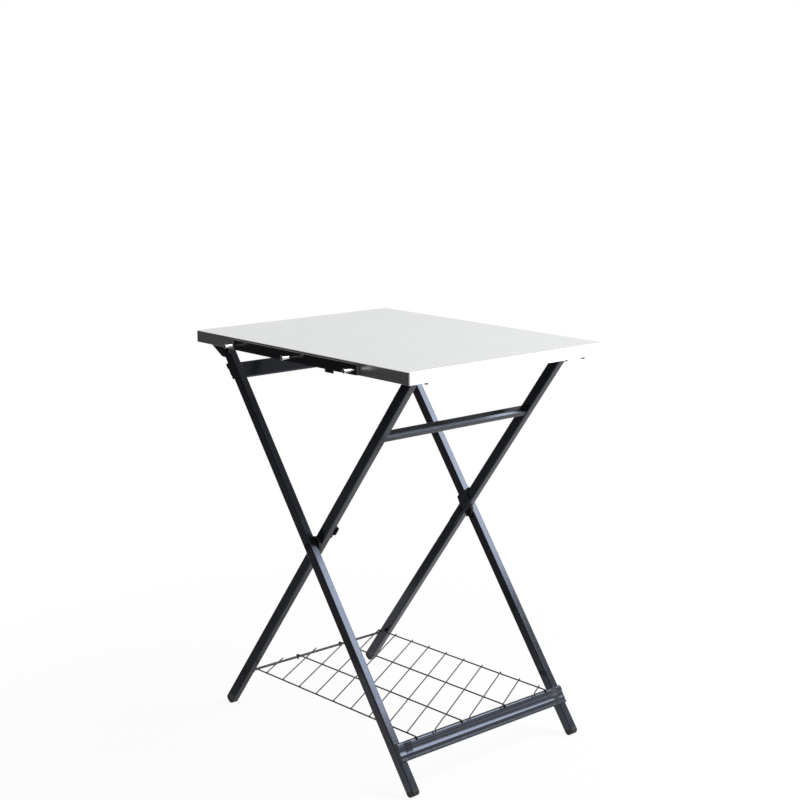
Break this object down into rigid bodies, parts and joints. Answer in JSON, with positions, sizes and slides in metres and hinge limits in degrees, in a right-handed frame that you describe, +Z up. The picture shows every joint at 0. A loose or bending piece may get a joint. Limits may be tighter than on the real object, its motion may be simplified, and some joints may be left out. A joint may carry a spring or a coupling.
{
  "type": "folding outdoor work table",
  "caption": "Folding work table with a folded steel top, crossed tubular legs that scissor shut, a hinged wire shelf below and a side rail with pegs for tools.",
  "frame": {"origin": "on the floor, at the middle of the overall width with the pegs and the middle of the top's depth", "axes": "+X along the crossbars to the user's right, -Y towards the front edge, +Z up"},
  "size_m": [0.637, 0.755, 0.95],
  "materials": {
    "stainless_sheet": "brushed",
    "rail_plastic": "gloss",
    "polished_stainless": "polished",
    "black_powder_coat": "satin powder coat",
    "coated_wire": "satin",
    "black_plastic": "matte",
    "black_rubber": "matte",
    "blackened_steel": "satin",
    "zinc_steel": "zinc plated"
  },
  "bodies": {
    "outer_frame": {"left_outer_leg": "black_powder_coat", "right_outer_leg": "black_powder_coat", "lower_front_bar": "black_powder_coat", "upper_back_bar": "black_powder_coat", "front_left_foot_cap": "black_plastic", "front_right_foot_cap": "black_plastic", "outer_leg_plugs": "black_plastic", "hinge_pins": "blackened_steel", "pivot_bolts": "blackened_steel", "pivot_spacers": "black_plastic"},
    "inner_frame": {"left_inner_leg": "black_powder_coat", "right_inner_leg": "black_powder_coat", "upper_front_bar": "black_powder_coat", "bar_screws": "blackened_steel", "leg_buttons": "zinc_steel", "back_left_foot_cap": "black_plastic", "back_right_foot_cap": "black_plastic", "inner_leg_plugs": "black_plastic", "left_pivot_plate": "black_powder_coat", "right_pivot_plate": "black_powder_coat", "plate_rivets": "zinc_steel", "rubber_rest": "black_rubber", "catch_rod": "black_powder_coat", "shelf_rod": "black_powder_coat", "shelf_rod_push_nuts": "zinc_steel"},
    "top": {"top_pan": "stainless_sheet", "top_channels": "stainless_sheet", "tool_rail": "rail_plastic", "tool_pegs": "polished_stainless", "peg_nuts": "zinc_steel", "left_hinge_bracket": "black_powder_coat", "right_hinge_bracket": "black_powder_coat", "left_catch_bracket": "black_powder_coat", "right_catch_bracket": "black_powder_coat", "left_leg_clip": "black_plastic", "right_leg_clip": "black_plastic", "weld_studs": "zinc_steel", "stud_nuts": "zinc_steel"},
    "shelf": {"shelf_long_wires": "coated_wire", "shelf_cross_wires": "coated_wire"}
  },
  "joints": [
    {"name": "leg_fold", "type": "hinge", "parent": "outer_frame", "child": "inner_frame", "pos_m": [0.0185, 0.004, 0.491], "axis": [-1, 0, 0], "range_deg": [0, 71]},
    {"name": "top_fold", "type": "hinge", "parent": "outer_frame", "child": "top", "pos_m": [0.0185, 0.30525, 0.9026], "axis": [-1, 0, 0], "range_deg": [0, 86]},
    {"name": "shelf_fold", "type": "hinge", "parent": "inner_frame", "child": "shelf", "pos_m": [0.0185, 0.29171, 0.0979], "axis": [-1, 0, 0], "range_deg": [0, 53]}
  ],
  "couplings": [
    {"joint": "top_fold", "follows": "leg_fold", "ratio": 1.2},
    {"joint": "shelf_fold", "follows": "leg_fold", "ratio": 0.743}
  ]
}
